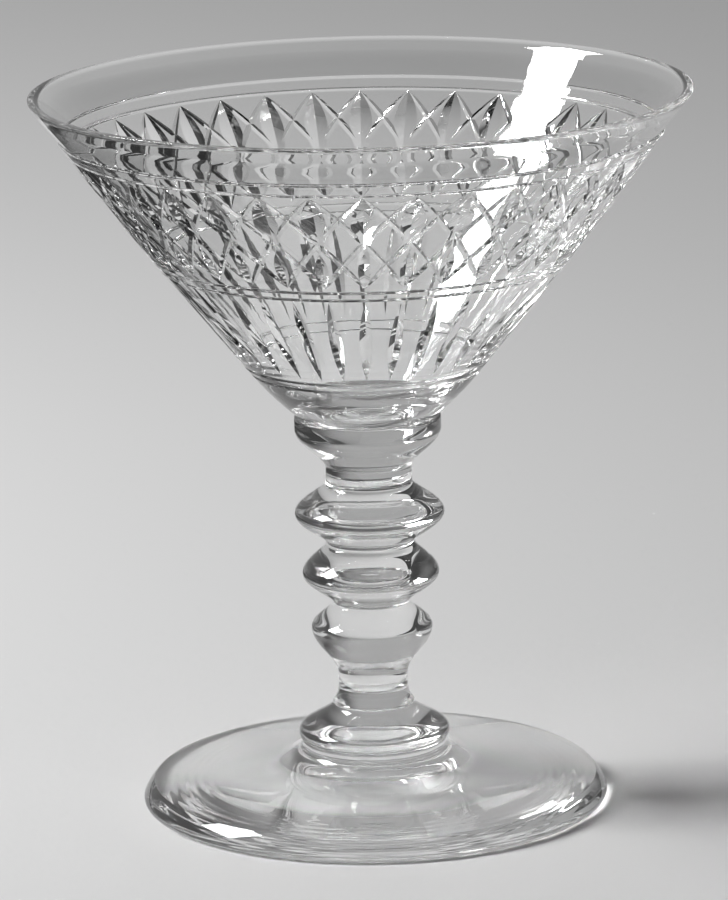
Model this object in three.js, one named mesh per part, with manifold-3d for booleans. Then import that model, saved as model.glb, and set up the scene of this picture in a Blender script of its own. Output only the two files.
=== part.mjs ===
// Sherbet glass: a cut conical bowl on a stem of three knops, fused from seven pieces of clear glass.
// Millimetres, +Z up. The glass stands on z = 0 and its axis is the Z axis.

import * as THREE from 'three';
import { mergeVertices } from 'three/addons/utils/BufferGeometryUtils.js';
import Module from 'manifold-3d';

const wasm = await Module();
wasm.setup();

// Foot
const FOOT_RADIUS = 38.9;
const FOOT_EDGE = 3.7; // height of the edge, from the table to the top face
const FOOT_EDGE_ROUNDING = 0.87; // of the lower corner of the edge
const FOOT_BEVEL_START = THREE.MathUtils.degToRad(25); // lean of the bevel, off upright, over the rounding
const FOOT_BEVEL_END = THREE.MathUtils.degToRad(47); // the same where the bevel meets the top face
const FOOT_REST_WIDTH = 5.0; // flat ring that touches the table
const FOOT_HOLLOW = 2.0; // rise of the hollowed underside, inside the ring
const FOOT_SLOPE_RISE = 3.2; // climb of the top face from the edge to the cove
const COVE_REACH = 4.6; // how far the cove spreads out from the dome
const COVE_RISE = 3.5;
const COVE_EASE = 0.6; // how far up the cove its curve would meet the dome if both ends ran on straight

// Foot dome
const DOME_SEAT_RADIUS = 12.1; // weld between foot and dome
const DOME_RADIUS = 12.6;
const DOME_LIP = 1.2; // height of the widest circle above the weld
const DOME_RISE = 5.0;

// Lower knop, with the waist under it
const WAIST_SEAT_RADIUS = 6.8; // weld between dome and lower knop
const WAIST_RADIUS = 5.8;
const WAIST_FLARE = 3.0; // height over which the waist spreads to its weld
const WAIST_LENGTH = 1.6; // straight stretch
const LOWER_KNOP_RADIUS = 10.1;
const LOWER_KNOP_UNDER = 8.2; // from the waist up to the widest circle
const LOWER_KNOP_OVER = 4.3; // from the widest circle up to the weld above

// Middle knop
const LOWER_NECK_RADIUS = 6.3; // weld between lower and middle knops
const MIDDLE_KNOP_RADIUS = 11.4;
const MIDDLE_KNOP_UNDER = 5.0;
const MIDDLE_KNOP_OVER = 5.3;

// Upper knop
const MIDDLE_NECK_RADIUS = 7.3; // weld between middle and upper knops
const UPPER_KNOP_RADIUS = 12.45;
const UPPER_KNOP_UNDER = 5.0;
const UPPER_KNOP_OVER = 5.2;
const UPPER_KNOP_NECK = 1.6; // straight stretch under the weld above

// Bowl collar
const UPPER_NECK_RADIUS = 7.2; // weld between upper knop and collar
const COLLAR_RADIUS = 12.2;
const COLLAR_NECK = 1.3; // straight stretch over the weld
const COLLAR_UNDER = 6.4;
const COLLAR_BAND = 1.6; // nearly straight band under the bowl
const COLLAR_EDGE = 0.6; // rounding of its top edge

// Bowl, whose height is the sum of its bands
const RIM_RADIUS = 54.6;
const RIM_WALL = 1.75; // measured level, at the rim
const LIP_ROUNDING = 0.6; // of both edges of the rim
const BELLY = 0.75; // how far the side of the cone swells beyond a straight line
const CONE_FOOT_RADIUS = 18.6; // outside radius where the cone starts
const CONE_FOOT_WALL = 4.0; // measured level, at the start of the cone
const BOWL_BASE_HEIGHT = 7.0; // rounded base, from the weld to the start of the cone
const BOWL_FLOOR = 2.0; // glass under the middle of the bowl
const BOWL_FLOOR_ROUNDING = 8.0; // height over which the floor turns up into the wall
const RIM_BAND = 6.6; // plain band between the rim and the upper rings
const LATTICE_BAND = 18.2; // between the upper and the middle rings
const SPLIT_BAND = 16.9; // between the middle and the bottom rings
const RING_PITCH = 1.9; // upper pair of rings, measured up the axis
const LOWER_RING_PITCH = 1.4; // middle and bottom pairs
const BOTTOM_RING_RISE = 0.9; // from the start of the cone to the lowest ring
const RING_WIDTH = 0.7; // each ring is a V groove
const RING_DEPTH = 0.3;

// Cut pattern
const CUTS_AROUND = 36;
const CUT_MARGIN = 0.9; // between a ring and the nearest tips of the cuts
const LATTICE_MARGIN = 0.3; // the same at the top of the lattice
const LATTICE_SPAN = 2; // steps of the pattern that a slanting cut crosses
const LATTICE_SPLIT_DEPTH = 0.85; // deepest point of the upright cuts in the top of the lattice
const SHORT_SPLIT_DEPTH = 0.6; // the same for the short ones in the foot of the lattice
const LOWER_SPLIT_DEPTH = 0.62; // the same for the ones between the middle and the bottom rings
const SLANT_EXTRA_DEPTH = 0.05; // how far a slanting cut lies below the straight line between its tips
const LATTICE_SPLIT_HALF_ANGLE = THREE.MathUtils.degToRad(68); // between the wheel's plane and its faces
const SPLIT_HALF_ANGLE = THREE.MathUtils.degToRad(60);
const SLANT_HALF_ANGLE = THREE.MathUtils.degToRad(47);
const WHEEL_FACETS_IN_CUT = 2;
const WHEEL_RELIEF = 6; // how far a cutter stands out of the glass

// Facets
const BOWL_FACETS = 2 * CUTS_AROUND;
const STEM_FACETS = 36;
const FOOT_FACETS = 54;
const CURVE_STEPS = 6; // facets along each curved stretch of an outline
const SHORT_CURVE_STEPS = 3; // the same on the bowl and on small roundings
const FLOOR_STEPS = 4; // the same on the floor of the bowl
const WALL_STEPS = 4; // the same up the inside of the wall
const KNOP_FULLNESS = 0.75; // below 1 a knop is fuller than a cosine wave

const SAME_POINT = 1e-6; // points of an outline closer than this are one point
const SAME_CORNER = 1e-5; // corners of a solid closer than this are one corner

const GLASS = { color: 0xe4e8e8, roughness: 0.04, metalness: 0, transparent: true, opacity: 0.4 };

// Outlines are lists of THREE.Vector2, with x the radius and y the height.

function point(radius, height) {
  return new THREE.Vector2(radius, height);
}

// A wave that swells from a neck to the widest circle, upright at both
function swell(neck, widest, fullness = KNOP_FULLNESS) {
  const points = [];
  for (let i = 0; i <= CURVE_STEPS; i += 1) {
    const t = i / CURVE_STEPS;
    const share = ((1 - Math.cos(Math.PI * t)) / 2) ** fullness;
    const radius = THREE.MathUtils.lerp(neck.x, widest.x, share);
    points.push(point(radius, THREE.MathUtils.lerp(neck.y, widest.y, t)));
  }
  return points;
}

function bend(from, corner, to, steps = CURVE_STEPS) {
  return new THREE.QuadraticBezierCurve(from, corner, to).getPoints(steps);
}

// Joins stretches of an outline and drops the points that two stretches share
function outline(...stretches) {
  const points = [];
  for (const next of stretches.flat()) {
    const last = points.at(-1);
    if (!last || last.distanceTo(next) > SAME_POINT) points.push(next);
  }
  return points;
}

function turned(points, facets) {
  const geometry = new THREE.LatheGeometry(points, facets);
  geometry.rotateX(Math.PI / 2);
  return geometry;
}

// Foot

const FOOT_REST_RADIUS = FOOT_RADIUS - FOOT_EDGE_ROUNDING;
const COVE_RADIUS = DOME_SEAT_RADIUS + COVE_REACH;
const COVE_FOOT = FOOT_EDGE + FOOT_SLOPE_RISE;
const FOOT_HEIGHT = COVE_FOOT + COVE_RISE;

// A round lower corner, then a bowed bevel up to the top face
function footEdge() {
  const climb = FOOT_EDGE - FOOT_EDGE_ROUNDING * (1 + Math.sin(FOOT_BEVEL_START));
  const bow = climb / (Math.sin(FOOT_BEVEL_END) - Math.sin(FOOT_BEVEL_START));
  const reach = bow - FOOT_EDGE_ROUNDING;
  const bowRadius = FOOT_REST_RADIUS - reach * Math.cos(FOOT_BEVEL_START);
  const bowHeight = FOOT_EDGE_ROUNDING - reach * Math.sin(FOOT_BEVEL_START);
  return new THREE.Path()
    .absarc(FOOT_REST_RADIUS, FOOT_EDGE_ROUNDING, FOOT_EDGE_ROUNDING, -Math.PI / 2, FOOT_BEVEL_START)
    .absarc(bowRadius, bowHeight, bow, FOOT_BEVEL_START, FOOT_BEVEL_END)
    .getPoints(SHORT_CURVE_STEPS);
}

// A wave from the middle of the underside down to the ring that touches the table, level at both
function footHollow() {
  const points = [];
  for (let i = 0; i <= CURVE_STEPS; i += 1) {
    const t = i / CURVE_STEPS;
    const height = (FOOT_HOLLOW * (1 + Math.cos(Math.PI * t))) / 2;
    points.push(point((FOOT_REST_RADIUS - FOOT_REST_WIDTH) * t, height));
  }
  return points;
}

function footGeometry() {
  const cove = bend(
    point(COVE_RADIUS, COVE_FOOT),
    point(DOME_SEAT_RADIUS, COVE_FOOT + COVE_EASE),
    point(DOME_SEAT_RADIUS, FOOT_HEIGHT),
  );
  return turned(outline(footHollow(), footEdge(), cove, point(0, FOOT_HEIGHT)), FOOT_FACETS);
}

// Foot dome

const DOME_HEIGHT = DOME_LIP + DOME_RISE;

function footDomeGeometry() {
  const widest = point(DOME_RADIUS, DOME_LIP);
  const lip = bend(point(DOME_SEAT_RADIUS, 0), point(DOME_RADIUS, 0), widest, SHORT_CURVE_STEPS);
  const shoulder = swell(point(WAIST_SEAT_RADIUS, DOME_HEIGHT), widest, 1).reverse();
  return turned(outline(point(0, 0), lip, shoulder, point(0, DOME_HEIGHT)), STEM_FACETS);
}

// Knops

const LOWER_KNOP_WAIST = WAIST_FLARE + WAIST_LENGTH;
const LOWER_KNOP_WIDEST = LOWER_KNOP_WAIST + LOWER_KNOP_UNDER;
const LOWER_KNOP_HEIGHT = LOWER_KNOP_WIDEST + LOWER_KNOP_OVER;

function lowerKnopGeometry() {
  const widest = point(LOWER_KNOP_RADIUS, LOWER_KNOP_WIDEST);
  const flare = bend(
    point(WAIST_SEAT_RADIUS, 0),
    point(WAIST_RADIUS, WAIST_FLARE / 2),
    point(WAIST_RADIUS, WAIST_FLARE),
    SHORT_CURVE_STEPS,
  );
  const under = swell(point(WAIST_RADIUS, LOWER_KNOP_WAIST), widest, 1);
  const over = swell(point(LOWER_NECK_RADIUS, LOWER_KNOP_HEIGHT), widest).reverse();
  return turned(outline(point(0, 0), flare, under, over, point(0, LOWER_KNOP_HEIGHT)), STEM_FACETS);
}

function knopGeometry(neckBelow, radius, neckAbove, under, over, neckLength = 0) {
  const height = under + over + neckLength;
  const widest = point(radius, under);
  const below = swell(point(neckBelow, 0), widest);
  const above = swell(point(neckAbove, under + over), widest).reverse();
  const neck = [point(neckAbove, height), point(0, height)];
  return turned(outline(point(0, 0), below, above, neck), STEM_FACETS);
}

const MIDDLE_KNOP_HEIGHT = MIDDLE_KNOP_UNDER + MIDDLE_KNOP_OVER;
const UPPER_KNOP_HEIGHT = UPPER_KNOP_UNDER + UPPER_KNOP_OVER + UPPER_KNOP_NECK;

function middleKnopGeometry() {
  return knopGeometry(
    LOWER_NECK_RADIUS,
    MIDDLE_KNOP_RADIUS,
    MIDDLE_NECK_RADIUS,
    MIDDLE_KNOP_UNDER,
    MIDDLE_KNOP_OVER,
  );
}

function upperKnopGeometry() {
  return knopGeometry(
    MIDDLE_NECK_RADIUS,
    UPPER_KNOP_RADIUS,
    UPPER_NECK_RADIUS,
    UPPER_KNOP_UNDER,
    UPPER_KNOP_OVER,
    UPPER_KNOP_NECK,
  );
}

// Bowl collar

const COLLAR_BAND_FOOT = COLLAR_NECK + COLLAR_UNDER;
const COLLAR_HEIGHT = COLLAR_BAND_FOOT + COLLAR_BAND + COLLAR_EDGE;
const BOWL_SEAT_RADIUS = COLLAR_RADIUS - COLLAR_EDGE;

function collarGeometry() {
  const under = swell(point(UPPER_NECK_RADIUS, COLLAR_NECK), point(COLLAR_RADIUS, COLLAR_BAND_FOOT));
  const edge = bend(
    point(COLLAR_RADIUS, COLLAR_HEIGHT - COLLAR_EDGE),
    point(COLLAR_RADIUS, COLLAR_HEIGHT),
    point(BOWL_SEAT_RADIUS, COLLAR_HEIGHT),
    SHORT_CURVE_STEPS,
  );
  const neck = [point(0, 0), point(UPPER_NECK_RADIUS, 0)];
  return turned(outline(neck, under, edge, point(0, COLLAR_HEIGHT)), STEM_FACETS);
}

// Bowl

const BOTTOM_RING = BOWL_BASE_HEIGHT + BOTTOM_RING_RISE;
const MIDDLE_RING = BOTTOM_RING + LOWER_RING_PITCH + SPLIT_BAND;
const UPPER_RING = MIDDLE_RING + LOWER_RING_PITCH + LATTICE_BAND;
const BOWL_HEIGHT = UPPER_RING + RING_PITCH + RIM_BAND;
const CONE_HEIGHT = BOWL_HEIGHT - BOWL_BASE_HEIGHT;
const CONE_SPREAD = RIM_RADIUS - CONE_FOOT_RADIUS;
const CONE_ANGLE = Math.atan2(CONE_SPREAD, CONE_HEIGHT); // from the axis
const CONE_FOOT_SLOPE = (CONE_SPREAD + Math.PI * BELLY) / CONE_HEIGHT; // radius gained over height

function coneRadius(height) {
  const t = (height - BOWL_BASE_HEIGHT) / CONE_HEIGHT;
  return THREE.MathUtils.lerp(CONE_FOOT_RADIUS, RIM_RADIUS, t) + BELLY * Math.sin(Math.PI * t);
}

// The wall thickens faster and faster from the rim down
function innerRadius(height) {
  const t = (BOWL_HEIGHT - height) / CONE_HEIGHT;
  return coneRadius(height) - THREE.MathUtils.lerp(RIM_WALL, CONE_FOOT_WALL, t ** 2);
}

function ringGroove(height) {
  const half = (RING_WIDTH / 2) * Math.cos(CONE_ANGLE);
  return [
    point(coneRadius(height - half), height - half),
    point(coneRadius(height) - RING_DEPTH * Math.cos(CONE_ANGLE), height + RING_DEPTH * Math.sin(CONE_ANGLE)),
    point(coneRadius(height + half), height + half),
  ];
}

function ringPair(height, pitch) {
  return [...ringGroove(height), ...ringGroove(height + pitch)];
}

function blankGeometry() {
  const base = bend(
    point(BOWL_SEAT_RADIUS, 0),
    point(CONE_FOOT_RADIUS - (BOWL_BASE_HEIGHT / 2) * CONE_FOOT_SLOPE, BOWL_BASE_HEIGHT / 2),
    point(CONE_FOOT_RADIUS, BOWL_BASE_HEIGHT),
    SHORT_CURVE_STEPS,
  );
  const rings = [
    ...ringPair(BOTTOM_RING, LOWER_RING_PITCH),
    ...ringPair(MIDDLE_RING, LOWER_RING_PITCH),
    ...ringPair(UPPER_RING, RING_PITCH),
  ];
  const lipFoot = BOWL_HEIGHT - LIP_ROUNDING;
  const rimInside = innerRadius(BOWL_HEIGHT);
  const lipOut = bend(
    point(coneRadius(lipFoot), lipFoot),
    point(RIM_RADIUS, BOWL_HEIGHT),
    point(RIM_RADIUS - LIP_ROUNDING, BOWL_HEIGHT),
    SHORT_CURVE_STEPS,
  );
  const lipIn = bend(
    point(rimInside + LIP_ROUNDING, BOWL_HEIGHT),
    point(rimInside, BOWL_HEIGHT),
    point(innerRadius(lipFoot), lipFoot),
    SHORT_CURVE_STEPS,
  );
  const turnUp = BOWL_FLOOR + BOWL_FLOOR_ROUNDING;
  const wall = [];
  for (let i = 1; i < WALL_STEPS; i += 1) {
    const height = THREE.MathUtils.lerp(lipFoot, turnUp, i / WALL_STEPS);
    wall.push(point(innerRadius(height), height));
  }
  const floor = bend(
    point(innerRadius(turnUp), turnUp),
    point(innerRadius(BOWL_FLOOR), BOWL_FLOOR),
    point(0, BOWL_FLOOR),
    FLOOR_STEPS,
  );
  return turned(outline(point(0, 0), base, rings, lipOut, lipIn, wall, floor), BOWL_FACETS);
}

// Cutters. Each is made with its deepest line along X and the glass below it, then set on the cone.

// A point on the outside of the bowl, counted in steps of the pattern
function onCone(step, height) {
  const angle = (2 * Math.PI * step) / CUTS_AROUND;
  const radius = coneRadius(height);
  return new THREE.Vector3(radius * Math.cos(angle), radius * Math.sin(angle), height);
}

function coneNormal(step) {
  const angle = (2 * Math.PI * step) / CUTS_AROUND;
  const level = Math.cos(CONE_ANGLE);
  return new THREE.Vector3(level * Math.cos(angle), level * Math.sin(angle), -Math.sin(CONE_ANGLE));
}

// Turns a cutter so that X runs between the tips and Z out of the glass, midway between the tips
function placeCutter(geometry, from, to, normal) {
  const along = to.clone().sub(from).normalize();
  const across = normal.clone().cross(along).normalize();
  const out = along.clone().cross(across);
  const middle = from.clone().add(to).multiplyScalar(0.5);
  return geometry.applyMatrix4(new THREE.Matrix4().makeBasis(along, across, out).setPosition(middle));
}

// An upright cut: a round wheel pressed in, so that the cut is deepest halfway between its tips
function wheelCut(step, bottom, top, depth, halfAngle = SPLIT_HALF_ANGLE) {
  const from = onCone(step, bottom);
  const to = onCone(step, top);
  const half = from.distanceTo(to) / 2;
  const radius = (half ** 2 + depth ** 2) / (2 * depth);
  const facets = Math.round((Math.PI * WHEEL_FACETS_IN_CUT) / Math.asin(half / radius));
  const side = WHEEL_RELIEF * Math.tan(halfAngle);
  const rim = [
    point(0, -side),
    point(radius - WHEEL_RELIEF, -side),
    point(radius, 0),
    point(radius - WHEEL_RELIEF, side),
    point(0, side),
  ];
  const wheel = new THREE.LatheGeometry(rim, facets);
  wheel.translate(0, 0, radius - depth);
  return placeCutter(wheel, from, to, coneNormal(step));
}

// A slanting cut: the wheel is drawn along a straight line, and the round of the bowl gives it its points
function slantCut(topStep, bottomStep, bottom, top) {
  const from = onCone(topStep, top);
  const to = onCone(bottomStep, bottom);
  const side = WHEEL_RELIEF * Math.tan(SLANT_HALF_ANGLE);
  const section = new THREE.Shape([point(0, 0), point(WHEEL_RELIEF, side), point(WHEEL_RELIEF, -side)]);
  const length = from.distanceTo(to) + 2 * WHEEL_RELIEF;
  const blade = new THREE.ExtrudeGeometry(section, { depth: length, bevelEnabled: false });
  blade.translate(-SLANT_EXTRA_DEPTH, 0, -length / 2);
  blade.rotateY(-Math.PI / 2);
  return placeCutter(blade, from, to, coneNormal((topStep + bottomStep) / 2));
}

function cutters() {
  const latticeTop = UPPER_RING - LATTICE_MARGIN;
  const latticeFoot = MIDDLE_RING + LOWER_RING_PITCH + CUT_MARGIN;
  const crossing = coneRadius(latticeTop) / (coneRadius(latticeTop) + coneRadius(latticeFoot));
  const latticeMiddle = THREE.MathUtils.lerp(latticeTop, latticeFoot, crossing);
  const splitTop = MIDDLE_RING - CUT_MARGIN / 2;
  const splitFoot = BOTTOM_RING + LOWER_RING_PITCH + CUT_MARGIN;
  const all = [];
  for (let step = 0; step < CUTS_AROUND; step += 1) {
    all.push(slantCut(step, step + LATTICE_SPAN, latticeFoot, latticeTop));
    all.push(slantCut(step, step - LATTICE_SPAN, latticeFoot, latticeTop));
    all.push(wheelCut(step, latticeMiddle, latticeTop, LATTICE_SPLIT_DEPTH, LATTICE_SPLIT_HALF_ANGLE));
    all.push(wheelCut(step, latticeFoot, latticeMiddle, SHORT_SPLIT_DEPTH));
    all.push(wheelCut(step, splitFoot, splitTop, LOWER_SPLIT_DEPTH));
  }
  return all;
}

// Solids for the cuts, and back

function toSolid(geometry) {
  const bare = geometry.index ? geometry.toNonIndexed() : geometry.clone();
  bare.deleteAttribute('normal');
  bare.deleteAttribute('uv');
  const merged = mergeVertices(bare, SAME_CORNER);
  const corners = merged.index.array;
  const triangles = [];
  for (let i = 0; i < corners.length; i += 3) {
    const [a, b, c] = [corners[i], corners[i + 1], corners[i + 2]];
    if (a !== b && b !== c && c !== a) triangles.push(a, b, c);
  }
  const vertProperties = new Float32Array(merged.attributes.position.array);
  const triVerts = new Uint32Array(triangles);
  return new wasm.Manifold(new wasm.Mesh({ numProp: 3, vertProperties, triVerts }));
}

function toGeometry(solid) {
  const mesh = solid.getMesh();
  const geometry = new THREE.BufferGeometry();
  geometry.setAttribute('position', new THREE.BufferAttribute(mesh.vertProperties, mesh.numProp));
  geometry.setIndex(new THREE.BufferAttribute(mesh.triVerts, 1));
  geometry.computeVertexNormals();
  return geometry;
}

function bowlGeometry() {
  let solid = toSolid(blankGeometry());
  for (const cutter of cutters()) {
    solid = solid.subtract(toSolid(cutter));
  }
  return toGeometry(solid);
}

// The pieces stand one on another, each on the weld face of the piece below

const PIECES = [
  ['foot', footGeometry(), FOOT_HEIGHT],
  ['foot_dome', footDomeGeometry(), DOME_HEIGHT],
  ['lower_knop', lowerKnopGeometry(), LOWER_KNOP_HEIGHT],
  ['middle_knop', middleKnopGeometry(), MIDDLE_KNOP_HEIGHT],
  ['upper_knop', upperKnopGeometry(), UPPER_KNOP_HEIGHT],
  ['bowl_collar', collarGeometry(), COLLAR_HEIGHT],
  ['bowl', bowlGeometry(), BOWL_HEIGHT],
];

const glass = new THREE.Group();
let weld = 0;
for (const [name, geometry, height] of PIECES) {
  const mesh = new THREE.Mesh(geometry, new THREE.MeshStandardMaterial(GLASS));
  mesh.name = name;
  mesh.position.z = weld;
  glass.add(mesh);
  weld += height;
}

export default glass;
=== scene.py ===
# Sherbet glass: a cut conical bowl on a stem of three knops, in clear fused glass.
import math

import bmesh
import bpy
from mathutils import Matrix, Vector


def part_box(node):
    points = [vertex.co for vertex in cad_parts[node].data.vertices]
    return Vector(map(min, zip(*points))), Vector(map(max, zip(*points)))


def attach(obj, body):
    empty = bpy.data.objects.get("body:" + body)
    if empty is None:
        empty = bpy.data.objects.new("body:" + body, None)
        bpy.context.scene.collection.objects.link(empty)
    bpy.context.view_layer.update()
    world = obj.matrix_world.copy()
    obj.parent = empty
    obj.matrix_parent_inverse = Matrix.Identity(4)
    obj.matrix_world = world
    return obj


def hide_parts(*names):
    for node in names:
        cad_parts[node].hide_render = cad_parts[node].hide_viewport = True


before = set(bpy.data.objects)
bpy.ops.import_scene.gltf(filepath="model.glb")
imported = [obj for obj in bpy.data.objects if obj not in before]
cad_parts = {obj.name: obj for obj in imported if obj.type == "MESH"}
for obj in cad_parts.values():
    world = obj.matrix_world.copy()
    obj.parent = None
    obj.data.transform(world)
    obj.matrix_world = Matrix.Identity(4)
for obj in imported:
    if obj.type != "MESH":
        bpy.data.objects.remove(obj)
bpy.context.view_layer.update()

# Outlines and cuts are worked out in millimetres, and meshes are brought to metres when they are done.
MM = 0.001

# Points nearer than this count as one, and a face this near to level counts as level
CLOSE = 0.001
LEVEL = 0.999

# Smoothness of the turned pieces
STEM_TURNS = 180
FOOT_TURNS = 240
BOWL_TURNS = 360
CURVE_STEPS = 28
SHORT_CURVE_STEPS = 10
KNOP_FULLNESS = 0.75
SHARP_ANGLE = math.radians(22)

# Heights that the pieces share, from the CAD frame
NODES = ("foot", "foot_dome", "lower_knop", "middle_knop", "upper_knop", "bowl_collar", "bowl")
LOW = {node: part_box(node)[0].z / MM for node in NODES}
HIGH = {node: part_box(node)[1].z / MM for node in NODES}

# Foot
FOOT_RADIUS = 38.9
FOOT_EDGE = 3.7
FOOT_EDGE_ROUNDING = 0.87
FOOT_BEVEL_START = math.radians(25)
FOOT_BEVEL_END = math.radians(47)
FOOT_REST_WIDTH = 5.0
FOOT_HOLLOW = 2.0
FOOT_RIPPLE = 0.006
FOOT_RIPPLE_PITCH = 1.6
FOOT_RIPPLE_START = 26.0
FOOT_UNDER_STEPS = 200
FOOT_SLOPE_RISE = 3.2
COVE_REACH = 4.6
COVE_EASE = 0.6

# Foot dome
DOME_SEAT_RADIUS = 12.1
DOME_RADIUS = 12.6
DOME_LIP = 1.2

# Stem
WAIST_SEAT_RADIUS = 6.8
WAIST_RADIUS = 5.8
WAIST_FLARE = 3.0
WAIST_LENGTH = 1.6
LOWER_KNOP_RADIUS = 10.1
LOWER_KNOP_UNDER = 8.2
LOWER_NECK_RADIUS = 6.3
MIDDLE_KNOP_RADIUS = 11.4
MIDDLE_KNOP_UNDER = 5.0
MIDDLE_NECK_RADIUS = 7.3
UPPER_KNOP_RADIUS = 12.45
UPPER_KNOP_UNDER = 5.0
UPPER_KNOP_NECK = 1.6
UPPER_NECK_RADIUS = 7.2
COLLAR_RADIUS = 12.2
COLLAR_NECK = 1.3
COLLAR_UNDER = 6.4
COLLAR_EDGE = 0.6

# Bowl
RIM_RADIUS = 54.6
LIP_ROUNDING = 0.6
BELLY = 0.75
CONE_FOOT_RADIUS = 18.6
BOWL_BASE_HEIGHT = 7.0
BOWL_FLOOR = 2.0
BOWL_FLOOR_ROUNDING = 8.0
RING_HEIGHTS = (7.9, 9.3, 26.2, 27.6, 45.8, 47.7)
RING_WIDTH = 0.8
RING_DEPTH = 0.22
BAND_STEP = 1.0

# Wall of the bowl, measured level
RIM_WALL = 1.75
CONE_FOOT_WALL = 4.0

# The plain band under the rim is ground in a little above the upper rings
RIM_WAIST = 0.45
RIM_WAIST_TOP = 117.2

# Cut pattern, in heights above the table
CUTS_AROUND = 36
LATTICE_TOP = 111.2
LATTICE_FOOT = 94.2
LATTICE_SPAN = 2
UPPER_SPLIT_FOOT = 100.9
UPPER_SPLIT_DEPTH = 0.85
LOWER_SPLIT_TOP = 100.8
LOWER_SPLIT_DEPTH = 0.6
LEAF_TOP = 91.45
LEAF_FOOT = 75.9
LEAF_DEPTH = 0.62
SLANT_DEPTH = 0.3
UPPER_SPLIT_HALF_ANGLE = math.radians(68)
LOWER_SPLIT_HALF_ANGLE = math.radians(60)
LEAF_HALF_ANGLE = math.radians(60)
SLANT_HALF_ANGLE = math.radians(62)
SPLIT_TAPER = 2
SLANT_TAPER = 6
BLADE_RELIEF = 0.3
BLADE_STATIONS = 21
BLADE_NUDGE = 0.01

# Edges shorter than this are merged after the cuts, and points this near to the cone lie on it
SLIVER = 0.0005
ON_CONE = 0.01

# Welds
WELD_GAP = 0.01

# Slots of each piece
GLASS_SLOT = 0
WELD_SLOT = 1
CUT_SLOT = 2


# Outlines: lists of (radius, height) that start and end on the axis

def mix(a, b, t):
    return a + (b - a) * t


def swell(neck, widest, fullness=KNOP_FULLNESS):
    """A wave from a neck to the widest circle, upright at both."""
    points = []
    for i in range(CURVE_STEPS + 1):
        t = i / CURVE_STEPS
        share = ((1 - math.cos(math.pi * t)) / 2) ** fullness
        points.append((mix(neck[0], widest[0], share), mix(neck[1], widest[1], t)))
    return points


def bend(start, corner, end, steps=CURVE_STEPS):
    """A curve that leaves the start towards the corner and comes into the end from it."""
    points = []
    for i in range(steps + 1):
        t = i / steps
        points.append(tuple(
            mix(mix(s, c, t), mix(c, e, t), t) for s, c, e in zip(start, corner, end)
        ))
    return points


def arc(centre, radius, start, end, steps=SHORT_CURVE_STEPS):
    points = []
    for i in range(steps + 1):
        angle = mix(start, end, i / steps)
        points.append((centre[0] + radius * math.cos(angle), centre[1] + radius * math.sin(angle)))
    return points


def joined(*stretches):
    """One outline of several stretches, without the points that two stretches share."""
    points = []
    for stretch in stretches:
        for now in stretch:
            if not points or math.dist(points[-1], now) > CLOSE:
                points.append(now)
    return points


def foot_ripple(radius, rest):
    """Faint rings on the outer part of the underside, which fade out at both ends."""
    out = radius - FOOT_RIPPLE_START
    if out < 0:
        return 0
    wave = 1 - math.cos(math.tau * out / FOOT_RIPPLE_PITCH)
    return FOOT_RIPPLE * wave * math.sin(math.pi * out / (rest - FOOT_RIPPLE_START))


def foot_under(rest):
    """A wave from the middle down to the flat ring that touches the table."""
    rim = rest - FOOT_REST_WIDTH
    points = []
    for i in range(FOOT_UNDER_STEPS + 1):
        radius = rest * i / FOOT_UNDER_STEPS
        hollow = FOOT_HOLLOW * (1 + math.cos(math.pi * min(1, radius / rim))) / 2
        points.append((radius, hollow + foot_ripple(radius, rest)))
    return points


def foot_edge(rest):
    """A round lower corner, then a bowed bevel up to the top face."""
    climb = FOOT_EDGE - FOOT_EDGE_ROUNDING * (1 + math.sin(FOOT_BEVEL_START))
    bow = climb / (math.sin(FOOT_BEVEL_END) - math.sin(FOOT_BEVEL_START))
    reach = bow - FOOT_EDGE_ROUNDING
    bow_centre = (
        rest - reach * math.cos(FOOT_BEVEL_START),
        FOOT_EDGE_ROUNDING - reach * math.sin(FOOT_BEVEL_START),
    )
    corner = arc((rest, FOOT_EDGE_ROUNDING), FOOT_EDGE_ROUNDING, -math.pi / 2, FOOT_BEVEL_START)
    return joined(corner, arc(bow_centre, bow, FOOT_BEVEL_START, FOOT_BEVEL_END))


def foot_outline():
    rest = FOOT_RADIUS - FOOT_EDGE_ROUNDING
    cove_foot = FOOT_EDGE + FOOT_SLOPE_RISE
    top = HIGH["foot"]
    cove = bend(
        (DOME_SEAT_RADIUS + COVE_REACH, cove_foot),
        (DOME_SEAT_RADIUS, cove_foot + COVE_EASE),
        (DOME_SEAT_RADIUS, top),
    )
    return joined(foot_under(rest), foot_edge(rest), cove, [(0, top)])


def foot_dome_outline():
    low, high = LOW["foot_dome"], HIGH["foot_dome"]
    widest = (DOME_RADIUS, low + DOME_LIP)
    lip = bend((DOME_SEAT_RADIUS, low), (DOME_RADIUS, low), widest, SHORT_CURVE_STEPS)
    shoulder = swell((WAIST_SEAT_RADIUS, high), widest, fullness=1)[::-1]
    return joined([(0, low)], lip, shoulder, [(0, high)])


def lower_knop_outline():
    low, high = LOW["lower_knop"], HIGH["lower_knop"]
    waist = low + WAIST_FLARE
    under = waist + WAIST_LENGTH
    widest = (LOWER_KNOP_RADIUS, under + LOWER_KNOP_UNDER)
    flare = bend((WAIST_SEAT_RADIUS, low), (WAIST_RADIUS, low + WAIST_FLARE / 2), (WAIST_RADIUS, waist))
    return joined(
        [(0, low)],
        flare,
        swell((WAIST_RADIUS, under), widest, fullness=1),
        swell((LOWER_NECK_RADIUS, high), widest)[::-1],
        [(0, high)],
    )


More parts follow.
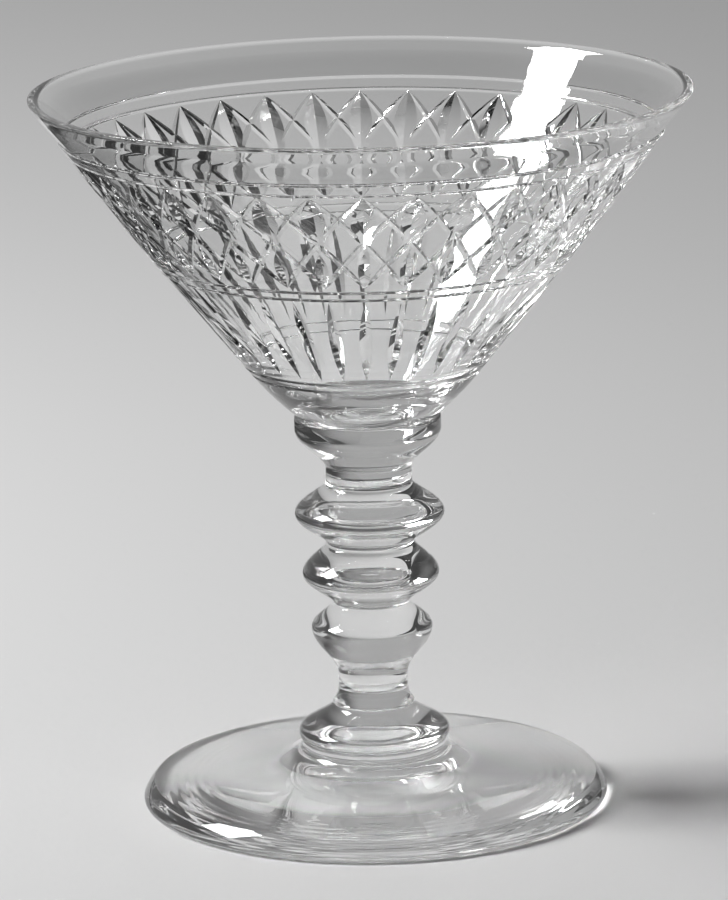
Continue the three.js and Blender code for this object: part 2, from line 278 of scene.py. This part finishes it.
def knop_outline(node, neck_below, radius, neck_above, under, neck_length=0):
    low, high = LOW[node], HIGH[node]
    widest = (radius, low + under)
    return joined(
        [(0, low)],
        swell((neck_below, low), widest),
        swell((neck_above, high - neck_length), widest)[::-1],
        [(neck_above, high), (0, high)],
    )


def collar_outline():
    low, high = LOW["bowl_collar"], HIGH["bowl_collar"]
    neck = (UPPER_NECK_RADIUS, low + COLLAR_NECK)
    band = (COLLAR_RADIUS, low + COLLAR_NECK + COLLAR_UNDER)
    edge = bend(
        (COLLAR_RADIUS, high - COLLAR_EDGE),
        (COLLAR_RADIUS, high),
        (COLLAR_RADIUS - COLLAR_EDGE, high),
        SHORT_CURVE_STEPS,
    )
    return joined([(0, low), (UPPER_NECK_RADIUS, low)], swell(neck, band), edge, [(0, high)])


# The cone of the bowl

CONE_FOOT = LOW["bowl"] + BOWL_BASE_HEIGHT
RIM = HIGH["bowl"]
CONE_SPREAD = RIM_RADIUS - CONE_FOOT_RADIUS


def cone_share(height):
    return (height - CONE_FOOT) / (RIM - CONE_FOOT)


def cone_radius(height):
    share = cone_share(height)
    return mix(CONE_FOOT_RADIUS, RIM_RADIUS, share) + BELLY * math.sin(math.pi * share)


def cone_angle(height):
    """Slope of the outside, from the axis."""
    spread = CONE_SPREAD + math.pi * BELLY * math.cos(math.pi * cone_share(height))
    return math.atan2(spread, RIM - CONE_FOOT)


def inner_radius(height):
    """The wall thickens faster and faster from the rim down."""
    return cone_radius(height) - mix(RIM_WALL, CONE_FOOT_WALL, (1 - cone_share(height)) ** 2)


def ring_groove(height):
    """A round-bottomed groove."""
    angle = cone_angle(height)
    points = []
    for i in range(SHORT_CURVE_STEPS + 1):
        s = mix(-1, 1, i / SHORT_CURVE_STEPS)
        along = height + s * RING_WIDTH / 2 * math.cos(angle)
        deep = RING_DEPTH * (1 + math.cos(math.pi * s)) / 2
        points.append((cone_radius(along) - deep * math.cos(angle), along + deep * math.sin(angle)))
    return points


def stretch(radius, low, high):
    """Points up the cone at even heights, both ends left out."""
    steps = math.ceil((high - low) / BAND_STEP)
    heights = [mix(low, high, i / steps) for i in range(1, steps)]
    return [(radius(height), height) for height in heights]


def cone_outline():
    """The outside, from the start of the cone to the lip, with its rings."""
    points = [(CONE_FOOT_RADIUS, CONE_FOOT)]
    for height in RING_HEIGHTS:
        groove = ring_groove(LOW["bowl"] + height)
        points += stretch(cone_radius, points[-1][1], groove[0][1]) + groove
    waist = points[-1][1]

    def band_radius(height):
        return cone_radius(height) - RIM_WAIST * max(0, RIM_WAIST_TOP - height) / (RIM_WAIST_TOP - waist)

    # The upper half of the top groove gives way to the ground band
    points = points[:-SHORT_CURVE_STEPS // 2]
    return points + [(band_radius(waist), waist)] + stretch(band_radius, waist, RIM - LIP_ROUNDING)


def bowl_outline():
    low = LOW["bowl"]
    corner = CONE_FOOT_RADIUS - BOWL_BASE_HEIGHT / 2 * math.tan(cone_angle(CONE_FOOT))
    base = bend(
        (COLLAR_RADIUS - COLLAR_EDGE, low),
        (corner, low + BOWL_BASE_HEIGHT / 2),
        (CONE_FOOT_RADIUS, CONE_FOOT),
        SHORT_CURVE_STEPS,
    )
    lip = RIM - LIP_ROUNDING
    inside = inner_radius(RIM)
    lip_out = bend(
        (cone_radius(lip), lip),
        (RIM_RADIUS, RIM),
        (RIM_RADIUS - LIP_ROUNDING, RIM),
        SHORT_CURVE_STEPS,
    )
    lip_in = bend(
        (inside + LIP_ROUNDING, RIM),
        (inside, RIM),
        (inner_radius(lip), lip),
        SHORT_CURVE_STEPS,
    )
    floor = low + BOWL_FLOOR
    turn_up = floor + BOWL_FLOOR_ROUNDING
    wall = stretch(inner_radius, turn_up, lip)[::-1]
    hollow = bend((inner_radius(turn_up), turn_up), (inner_radius(floor), floor), (0, floor))
    return joined([(0, low)], base, cone_outline(), lip_out, lip_in, wall, hollow)


# Meshes

def turned(name, outline, turns):
    vertices, faces, rows = [], [], []
    for radius, height in outline:
        first = len(vertices)
        if radius < CLOSE:
            rows.append([first] * turns)
            vertices.append((0, 0, height))
            continue
        rows.append(range(first, first + turns))
        for i in range(turns):
            angle = math.tau * i / turns
            vertices.append((radius * math.cos(angle), radius * math.sin(angle), height))
    for lower, upper in zip(rows, rows[1:]):
        for i in range(turns):
            j = (i + 1) % turns
            faces.append(list(dict.fromkeys((lower[i], lower[j], upper[j], upper[i]))))
    mesh = bpy.data.meshes.new(name)
    mesh.from_pydata(vertices, [], faces)
    return mesh


def mark_weld(mesh, height, gap):
    """The flat face that is fused to the next piece goes to the weld slot, a hair away from that piece."""
    for face in mesh.polygons:
        if abs(face.normal.z) > LEVEL and abs(face.center.z - height) < CLOSE:
            face.material_index = WELD_SLOT
    for vertex in mesh.vertices:
        if abs(vertex.co.z - height) < CLOSE:
            vertex.co.z += gap


# Cutting wheels, as boat-shaped blades laid along the cone

def on_cone(step, height):
    angle = math.tau * step / CUTS_AROUND
    radius = cone_radius(height)
    return Vector((radius * math.cos(angle), radius * math.sin(angle), height))


def cone_normal(place):
    angle = cone_angle(place.z)
    level = Vector((place.x, place.y, 0)).normalized() * math.cos(angle)
    return level - Vector((0, 0, math.sin(angle)))


def depth_in_glass(place):
    """How far a point lies under the outside of the bowl."""
    return (cone_radius(place.z) - math.hypot(place.x, place.y)) * math.cos(cone_angle(place.z))


def blade(path, bite, taper, half_angle):
    """A closed V blade along a path on the cone, which runs from -1 to 1. It bites deepest halfway."""
    reach = (1 + BLADE_RELIEF / bite) ** (1 / taper)
    vertices, faces = [], []
    last = BLADE_STATIONS - 1
    for i in range(BLADE_STATIONS):
        s = reach * mix(-1, 1, i / last)
        place = path(s)
        out = cone_normal(place)
        across = (path(s + BLADE_NUDGE) - path(s - BLADE_NUDGE)).cross(out).normalized()
        depth = bite * (1 - abs(s) ** taper)
        keel = place - out * depth
        if i in (0, last):
            vertices.append(keel)
            continue
        height = depth + BLADE_RELIEF
        side = across * height * math.tan(half_angle)
        vertices += [keel, keel + out * height + side, keel + out * height - side]
    for first in range(1, len(vertices) - 4, 3):
        keel, left, right = first, first + 1, first + 2
        faces += [
            (keel, keel + 3, left + 3, left),
            (right, right + 3, keel + 3, keel),
            (left, left + 3, right + 3, right),
        ]
    end = len(vertices) - 1
    faces += [(0, 1, 2), (0, 3, 1), (0, 2, 3)]
    faces += [(end, end - 2, end - 3), (end, end - 3, end - 1), (end, end - 1, end - 2)]
    return vertices, faces


def cut_line(step, foot, top, span=0):
    """A path up the cone from foot to top, which leans over by a span of steps."""
    def path(s):
        t = (s + 1) / 2
        return on_cone(step + span * (1 - t), mix(foot, top, t))
    return path


def upper_split(step):
    path = cut_line(step, UPPER_SPLIT_FOOT, LATTICE_TOP)
    return blade(path, UPPER_SPLIT_DEPTH, SPLIT_TAPER, UPPER_SPLIT_HALF_ANGLE)


def lower_split(step):
    path = cut_line(step, LATTICE_FOOT, LOWER_SPLIT_TOP)
    return blade(path, LOWER_SPLIT_DEPTH, SPLIT_TAPER, LOWER_SPLIT_HALF_ANGLE)


def leaf(step):
    return blade(cut_line(step, LEAF_FOOT, LEAF_TOP), LEAF_DEPTH, SPLIT_TAPER, LEAF_HALF_ANGLE)


def right_slant(step):
    path = cut_line(step, LATTICE_FOOT, LATTICE_TOP, LATTICE_SPAN)
    return blade(path, SLANT_DEPTH, SLANT_TAPER, SLANT_HALF_ANGLE)


def left_slant(step):
    path = cut_line(step, LATTICE_FOOT, LATTICE_TOP, -LATTICE_SPAN)
    return blade(path, SLANT_DEPTH, SLANT_TAPER, SLANT_HALF_ANGLE)


def cutter_mesh(name, make_blade):
    vertices, faces = [], []
    for step in range(CUTS_AROUND):
        new_vertices, new_faces = make_blade(step)
        first = len(vertices)
        vertices += new_vertices
        faces += [[first + corner for corner in face] for face in new_faces]
    mesh = bpy.data.meshes.new(name)
    mesh.from_pydata(vertices, [], faces)
    sheet = bmesh.new()
    sheet.from_mesh(mesh)
    bmesh.ops.recalc_face_normals(sheet, faces=sheet.faces)
    sheet.to_mesh(mesh)
    sheet.free()
    for face in mesh.polygons:
        face.material_index = CUT_SLOT
    return mesh


CUTS = {
    "right slants": right_slant,
    "left slants": left_slant,
    "upper splits": upper_split,
    "lower splits": lower_split,
    "leaves": leaf,
}


def drop_slivers(mesh):
    """Takes out the faces of no area that the cuts leave where their edges meet."""
    clean = bmesh.new()
    clean.from_mesh(mesh)
    bmesh.ops.triangulate(clean, faces=clean.faces)
    bmesh.ops.dissolve_degenerate(clean, dist=SLIVER, edges=clean.edges)
    clean.to_mesh(mesh)
    clean.free()


def cut_bowl(blank):
    """Takes each set of blades out of the blank, and returns the cut mesh."""
    bowl = bpy.data.objects.new("bowl blank", blank)
    bpy.context.scene.collection.objects.link(bowl)
    tools = []
    for name, make_blade in CUTS.items():
        tool = bpy.data.objects.new(name, cutter_mesh(name, make_blade))
        bpy.context.scene.collection.objects.link(tool)
        tools.append(tool)
        cut = bowl.modifiers.new(name, "BOOLEAN")
        cut.operation = "DIFFERENCE"
        cut.solver = "MANIFOLD"
        cut.material_mode = "INDEX"
        cut.object = tool
    ready = bowl.evaluated_get(bpy.context.evaluated_depsgraph_get())
    mesh = bpy.data.meshes.new_from_object(ready)
    for tool in [*tools, bowl]:
        bpy.data.objects.remove(tool)
    drop_slivers(mesh)
    return mesh


def steady_cone_normals(mesh):
    """Gives the outside of the cone its true normals, so that the cuts leave no ripples in its shading."""
    normals = [Vector()] * len(mesh.loops)
    for face in mesh.polygons:
        if face.material_index != GLASS_SLOT:
            continue
        corners = [mesh.vertices[i].co for i in face.vertices]
        if any(abs(depth_in_glass(corner)) > ON_CONE for corner in corners):
            continue
        if min(corner.z for corner in corners) < CONE_FOOT:
            continue
        for loop in face.loop_indices:
            normals[loop] = cone_normal(mesh.vertices[mesh.loops[loop].vertex_index].co)
    mesh.normals_split_custom_set(normals)


# Materials

GLASS_TINT = (0.993, 0.996, 0.995)
GLASS_INDEX = 1.52
POLISH_SCALE = 90
POLISH_DETAIL = 6
WAVE_DETAIL = 2
MATTE_ROUGHNESS = 0.9
MATTE_SHINE = 0.1


def node_of(tree, kind, **settings):
    made = tree.nodes.new(kind)
    for name, value in settings.items():
        setattr(made, name, value)
    return made


def add_polish(tree, place, rough_low, rough_high):
    """Lets the roughness wander between two values."""
    polish = node_of(tree, "ShaderNodeTexNoise")
    polish.inputs["Scale"].default_value = POLISH_SCALE
    polish.inputs["Detail"].default_value = POLISH_DETAIL
    spread = node_of(tree, "ShaderNodeMapRange")
    spread.inputs["To Min"].default_value = rough_low
    spread.inputs["To Max"].default_value = rough_high
    shader = tree.nodes["Principled BSDF"]
    tree.links.new(place.outputs["Object"], polish.inputs["Vector"])
    tree.links.new(polish.outputs["Fac"], spread.inputs["Value"])
    tree.links.new(spread.outputs["Result"], shader.inputs["Roughness"])


def add_waves(tree, place, scale, lines, height):
    """Tilts the surface by faint waves, which are squeezed into lines around the piece."""
    around = node_of(tree, "ShaderNodeMapping")
    around.inputs["Scale"].default_value = (1, 1, lines)
    waves = node_of(tree, "ShaderNodeTexNoise")
    waves.inputs["Scale"].default_value = scale
    waves.inputs["Detail"].default_value = WAVE_DETAIL
    bump = node_of(tree, "ShaderNodeBump")
    bump.inputs["Strength"].default_value = 1.0
    bump.inputs["Distance"].default_value = height
    shader = tree.nodes["Principled BSDF"]
    tree.links.new(place.outputs["Object"], around.inputs["Vector"])
    tree.links.new(around.outputs["Vector"], waves.inputs["Vector"])
    tree.links.new(waves.outputs["Fac"], bump.inputs["Height"])
    tree.links.new(bump.outputs["Normal"], shader.inputs["Normal"])


def glass_material(name, wave_scale, lines, wave_height, rough_low, rough_high):
    """Clear polished glass, with faint lines around it from tooling and a slightly uneven polish."""
    material = bpy.data.materials.new(name)
    material.use_nodes = True
    tree = material.node_tree
    shader = tree.nodes["Principled BSDF"]
    shader.inputs["Base Color"].default_value = (*GLASS_TINT, 1)
    shader.inputs["IOR"].default_value = GLASS_INDEX
    shader.inputs["Transmission Weight"].default_value = 1.0
    place = node_of(tree, "ShaderNodeTexCoord")
    add_polish(tree, place, rough_low, rough_high)
    add_waves(tree, place, wave_scale, lines, wave_height)
    return material


def weld_material():
    """Where two pieces are fused there is no surface left to see."""
    material = bpy.data.materials.new("fused weld")
    material.use_nodes = True
    tree = material.node_tree
    tree.nodes.remove(tree.nodes["Principled BSDF"])
    clear = node_of(tree, "ShaderNodeBsdfTransparent")
    tree.links.new(clear.outputs["BSDF"], tree.nodes["Material Output"].inputs["Surface"])
    return material


def matte_material(name, colour):
    material = bpy.data.materials.new(name)
    material.use_nodes = True
    shader = material.node_tree.nodes["Principled BSDF"]
    shader.inputs["Base Color"].default_value = (*colour, 1)
    shader.inputs["Roughness"].default_value = MATTE_ROUGHNESS
    shader.inputs["Specular IOR Level"].default_value = MATTE_SHINE
    return material


BLOWN = glass_material(
    "blown glass",
    wave_scale=30,
    lines=6,
    wave_height=0.00004,
    rough_low=0.0,
    rough_high=0.02,
)
TOOLED = glass_material(
    "tooled glass",
    wave_scale=30,
    lines=10,
    wave_height=0.00005,
    rough_low=0.0,
    rough_high=0.02,
)
CUT = glass_material(
    "cut glass",
    wave_scale=200,
    lines=1,
    wave_height=0.00002,
    rough_low=0.0,
    rough_high=0.03,
)
WELD = weld_material()


# Pieces

def add_piece(node, mesh, glass):
    mesh.transform(Matrix.Scale(MM, 4))
    mesh.materials.clear()
    for material in (glass, WELD, CUT):
        mesh.materials.append(material)
    piece = bpy.data.objects.new(node + "_glass", mesh)
    bpy.context.scene.collection.objects.link(piece)
    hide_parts(node)
    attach(piece, "root")
    return piece


def add_turned(node, outline, turns=STEM_TURNS, glass=TOOLED):
    mesh = turned(node, outline, turns)
    mark_weld(mesh, HIGH[node], -WELD_GAP)
    if node != "foot":
        mark_weld(mesh, LOW[node], WELD_GAP)
    mesh.shade_smooth()
    mesh.set_sharp_from_angle(angle=SHARP_ANGLE)
    return add_piece(node, mesh, glass)


def add_bowl():
    blank = turned("bowl", bowl_outline(), BOWL_TURNS)
    mark_weld(blank, LOW["bowl"], WELD_GAP)
    mesh = cut_bowl(blank)
    mesh.shade_smooth()
    mesh.set_sharp_from_angle(angle=SHARP_ANGLE)
    steady_cone_normals(mesh)
    return add_piece("bowl", mesh, BLOWN)


add_turned("foot", foot_outline(), FOOT_TURNS)
add_turned("foot_dome", foot_dome_outline())
add_turned("lower_knop", lower_knop_outline())
add_turned("middle_knop", knop_outline(
    "middle_knop",
    LOWER_NECK_RADIUS,
    MIDDLE_KNOP_RADIUS,
    MIDDLE_NECK_RADIUS,
    MIDDLE_KNOP_UNDER,
))
add_turned("upper_knop", knop_outline(
    "upper_knop",
    MIDDLE_NECK_RADIUS,
    UPPER_KNOP_RADIUS,
    UPPER_NECK_RADIUS,
    UPPER_KNOP_UNDER,
    UPPER_KNOP_NECK,
))
add_turned("bowl_collar", collar_outline())
add_bowl()


# Floor, light and camera

SHEET_SIDES = (-1.5, 0.3)
SHEET_FRONT = -2.0
SHEET_BEND_START = 0.4
SHEET_BEND = 4.0
SHEET_BEND_ANGLE = math.radians(8)
FLOOR_DROP = 0.0001
FLOOR_COLOUR = (0.70, 0.70, 0.70)
ROOM_DARK = 0.05
ROOM_BRIGHT = 0.37
ROOM_BRIGHT_SIDE = (-0.45, 0.85, 0.5)
ROOM_EDGE = (0.4, 0.8)
CARD = ((-0.6, -0.6), (-0.035, -0.6), (-0.09, 0.35), (-0.6, 0.35))
CARD_LIFT = 0.00005
CARD_COLOUR = (0.02, 0.02, 0.02)
LAMP_AIM = Vector((0, 0, 0.06))
LAMP_DIRECTION = Vector((-0.774, 0.077, 0.638))
LAMP_DISTANCE = 1.0
LAMP_SIZE = 0.38
LAMP_POWER = 12.1
CAMERA_TARGET = Vector((-0.000696, 0, 0.059458))
CAMERA_DISTANCE = 0.9153
CAMERA_ELEVATION = math.radians(13.513)
CAMERA_ROLL = math.radians(-1.288)
CAMERA_LENS = 220.93

# How far light is followed through the glass
LIGHT_BOUNCES = 32
MIRROR_BOUNCES = 16
CLEAR_BOUNCES = 64
CAUSTIC_LIMIT = 60


def add_stage(name, vertices, faces, colour):
    mesh = bpy.data.meshes.new(name)
    mesh.from_pydata(vertices, [], faces)
    mesh.shade_smooth()
    mesh.materials.append(matte_material(name, colour))
    stage = bpy.data.objects.new(name, mesh)
    bpy.context.scene.collection.objects.link(stage)
    return stage


def add_sheet():
    """A pale sheet that lies on the table and curls up a little behind the glass."""
    level = -math.pi / 2
    curl = arc((SHEET_BEND_START, SHEET_BEND), SHEET_BEND, level, level + SHEET_BEND_ANGLE)
    section = [(SHEET_FRONT, 0), *curl]
    vertices = [(x, y, z - FLOOR_DROP) for y, z in section for x in SHEET_SIDES]
    faces = [(i, i + 1, i + 3, i + 2) for i in range(0, len(vertices) - 2, 2)]
    add_stage("pale_sheet", vertices, faces, FLOOR_COLOUR)


def add_card():
    """A dark card beside the glass that only the glass shows, as the dark of its left edge."""
    vertices = [(x, y, CARD_LIFT - FLOOR_DROP) for x, y in CARD]
    card = add_stage("dark_card", vertices, [range(len(CARD))], CARD_COLOUR)
    card.visible_camera = False
    card.visible_diffuse = False
    card.visible_shadow = False


def add_world():
    """A room that is pale on one side and dark on the other."""
    world = bpy.data.worlds.new("room")
    bpy.context.scene.world = world
    world.use_nodes = True
    tree = world.node_tree
    place = node_of(tree, "ShaderNodeTexCoord")
    facing = node_of(tree, "ShaderNodeVectorMath", operation="DOT_PRODUCT")
    facing.inputs[1].default_value = Vector(ROOM_BRIGHT_SIDE).normalized()
    level = node_of(tree, "ShaderNodeMapRange", interpolation_type="SMOOTHSTEP")
    level.inputs["From Min"].default_value = ROOM_EDGE[0]
    level.inputs["From Max"].default_value = ROOM_EDGE[1]
    level.inputs["To Min"].default_value = ROOM_DARK
    level.inputs["To Max"].default_value = ROOM_BRIGHT
    tree.links.new(place.outputs["Generated"], facing.inputs[0])
    tree.links.new(facing.outputs["Value"], level.inputs["Value"])
    tree.links.new(level.outputs["Result"], tree.nodes["Background"].inputs["Color"])


def add_lamp():
    light = bpy.data.lights.new("softbox", "AREA")
    light.shape = "SQUARE"
    light.size = LAMP_SIZE
    light.energy = LAMP_POWER
    lamp = bpy.data.objects.new("softbox", light)
    lamp.location = LAMP_AIM + LAMP_DIRECTION.normalized() * LAMP_DISTANCE
    lamp.rotation_euler = LAMP_DIRECTION.to_track_quat("Z", "Y").to_euler()
    bpy.context.scene.collection.objects.link(lamp)


def add_camera():
    data = bpy.data.cameras.new("camera")
    data.lens = CAMERA_LENS
    camera = bpy.data.objects.new("camera", data)
    back = Vector((0, -math.cos(CAMERA_ELEVATION), math.sin(CAMERA_ELEVATION)))
    place = Matrix.Translation(CAMERA_TARGET + back * CAMERA_DISTANCE)
    tilt = Matrix.Rotation(math.pi / 2 - CAMERA_ELEVATION, 4, "X")
    camera.matrix_world = place @ tilt @ Matrix.Rotation(CAMERA_ROLL, 4, "Z")
    bpy.context.scene.collection.objects.link(camera)
    bpy.context.scene.camera = camera


add_sheet()
add_card()
add_world()
add_lamp()
add_camera()
scene = bpy.context.scene
scene.view_settings.view_transform = "Standard"
scene.cycles.max_bounces = LIGHT_BOUNCES
scene.cycles.transmission_bounces = LIGHT_BOUNCES
scene.cycles.glossy_bounces = MIRROR_BOUNCES
scene.cycles.transparent_max_bounces = CLEAR_BOUNCES
scene.cycles.sample_clamp_indirect = CAUSTIC_LIMIT
scene.cycles.blur_glossy = 0
